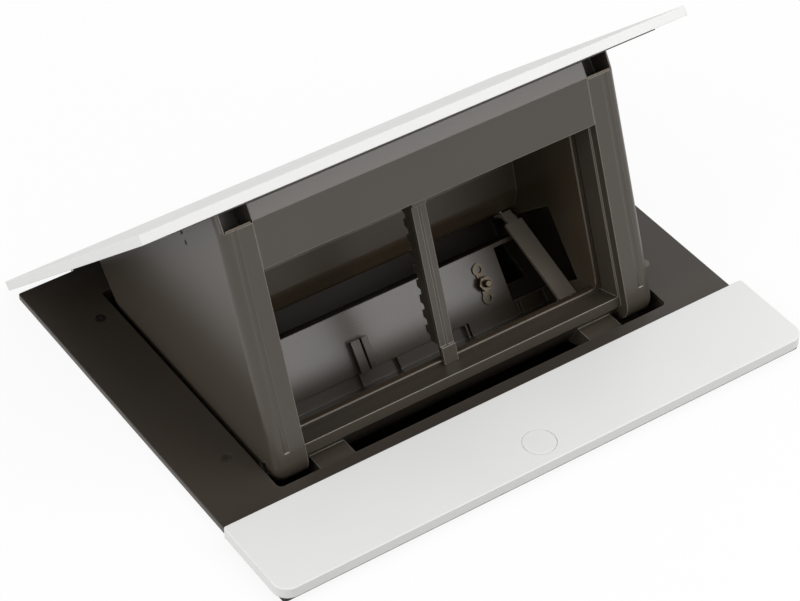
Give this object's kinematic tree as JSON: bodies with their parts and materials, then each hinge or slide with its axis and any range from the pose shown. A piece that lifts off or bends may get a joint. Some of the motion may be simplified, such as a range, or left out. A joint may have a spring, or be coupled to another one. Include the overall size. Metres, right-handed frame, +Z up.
{
  "type": "pop up desk socket",
  "caption": "Tilting desk box with a white lid, open: dark shell with two empty socket bays, a base plate that sits in a desk cut-out, and a front bar with a release button and latch.",
  "frame": {"origin": "centre of the desk cut-out, in the plane of the desk top, on which the gasket lies", "axes": "+Z up, +Y to the rear where the hinge is, +X to the right seen from the front bar"},
  "size_m": [0.306, 0.2653, 0.1821],
  "materials": {
    "white_coat": "white satin powder coat on a cast aluminium plate",
    "white_button": "satin",
    "dark_coat": "fine matt powder coat",
    "dark_plastic": "fine moulded texture",
    "black_rubber": "matt",
    "brass_terminal": "nickel plated",
    "steel": "zinc plated"
  },
  "bodies": {
    "base": {"bar_screw_1": "steel", "bar_screw_2": "steel", "base_plate": "dark_coat", "clamp_screw_1": "steel", "clamp_screw_2": "steel", "clamp_screw_3": "steel", "clamp_screw_4": "steel", "desk_clamp_1": "dark_plastic", "desk_clamp_2": "dark_plastic", "desk_clamp_3": "dark_plastic", "desk_clamp_4": "dark_plastic", "desk_gasket": "black_rubber", "front_bar": "white_coat", "hinge_pin": "steel", "latch_spring_left": "steel", "latch_spring_right": "steel", "mounting_collar": "dark_plastic", "plate_screw_1": "steel", "plate_screw_2": "steel", "plate_screw_3": "steel", "plate_screw_4": "steel", "torsion_spring_left": "steel", "torsion_spring_right": "steel"},
    "button": {"release_button": "white_button"},
    "latch": {"latch_slider": "steel"},
    "popup": {"box_shell": "dark_plastic", "cable_strap": "dark_plastic", "centre_bar": "dark_plastic", "crossbar_screw_1": "steel", "crossbar_screw_2": "steel", "earth_clip": "brass_terminal", "earth_nut": "brass_terminal", "earth_stud": "brass_terminal", "hinge_leaf": "steel", "leaf_screw_1": "steel", "leaf_screw_2": "steel", "lid_carrier": "dark_coat", "lid_cover": "white_coat", "lid_screw_1": "steel", "lid_screw_2": "steel", "lid_screw_3": "steel", "lid_screw_4": "steel", "side_screw_left": "steel", "side_screw_right": "steel", "socket_tub": "dark_plastic", "stop_pad_left": "black_rubber", "stop_pad_right": "black_rubber", "strap_screw_1": "steel", "strap_screw_2": "steel", "striker_left": "steel", "striker_right": "steel", "top_crossbar": "dark_plastic"}
  },
  "joints": [
    {"name": "popup_tilt", "type": "hinge", "parent": "base", "child": "popup", "pos_m": [0, 0.1205, 0.0029], "axis": [1, 0, 0], "range_deg": [0, 41.5], "stiffness_Nm_per_rad": 1.7, "springref_deg": -57.3},
    {"name": "latch_slide", "type": "slide", "parent": "base", "child": "latch", "axis": [0, 1, 0], "range_m": [0, 0.0032], "deforming": ["latch_spring_left", "latch_spring_right"]},
    {"name": "button_press", "type": "slide", "parent": "base", "child": "button", "axis": [0, 0, 1], "range_m": [0, 0.0018]}
  ],
  "couplings": [
    {"joint": "button_press", "follows": "latch_slide", "ratio": 0.5625}
  ]
}
